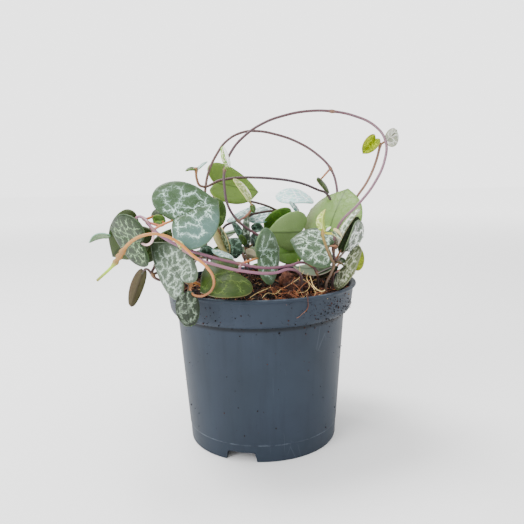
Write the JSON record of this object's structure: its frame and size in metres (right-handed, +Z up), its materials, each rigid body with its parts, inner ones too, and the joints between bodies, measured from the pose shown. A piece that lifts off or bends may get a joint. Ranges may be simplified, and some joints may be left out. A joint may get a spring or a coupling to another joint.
{
  "type": "potted string of hearts plant",
  "caption": "Small plastic nursery pot of soil with trailing wiry stems and paired, silver-netted heart-shaped leaves that arch over and hang past its rim.",
  "frame": {"origin": "middle of the whole object's box, on the surface that the pot stands on; the pot's own axis is 3.1 mm towards +X and 2 mm towards -Y of it", "axes": "+Z up, -Y towards the side shown in the picture, +X to its right"},
  "size_m": [0.097, 0.0767, 0.1055],
  "materials": {
    "pot_plastic": "blue-grey moulded plastic, satin, slightly scuffed",
    "potting_soil": "dark peat and coir mix, crumbly",
    "coir": "red-brown coir clump, fibrous",
    "leaf_silver": "fleshy grey-green leaf with a silver net, softly waxy",
    "leaf_green": "fleshy green leaf, softly waxy",
    "leaf_pale": "young pale green leaf, softly waxy",
    "shoot_orange": "smooth orange-brown young shoot"
  },
  "bodies": {
    "root": {"pot": "pot_plastic", "soil": "potting_soil", "coir_lump": "coir", "vine_outer_loop": "leaf_silver", "vine_right_shoot": "leaf_silver", "vine_inner_loop": "leaf_silver", "vine_cross_arch": "leaf_silver", "vine_centre_back": "leaf_silver", "vine_front_runner": "leaf_silver", "vine_front_lower": "leaf_silver", "vine_orange_shoot": "shoot_orange", "vine_left_low": "leaf_green", "vine_centre_left": "leaf_silver", "vine_centre": "leaf_silver", "vine_bud_shoot": "leaf_pale", "vine_middle_right": "leaf_silver", "vine_middle_left": "leaf_silver", "vine_back_left": "leaf_silver", "vine_back": "leaf_silver", "vine_back_right": "leaf_silver"}
  },
  "joints": []
}
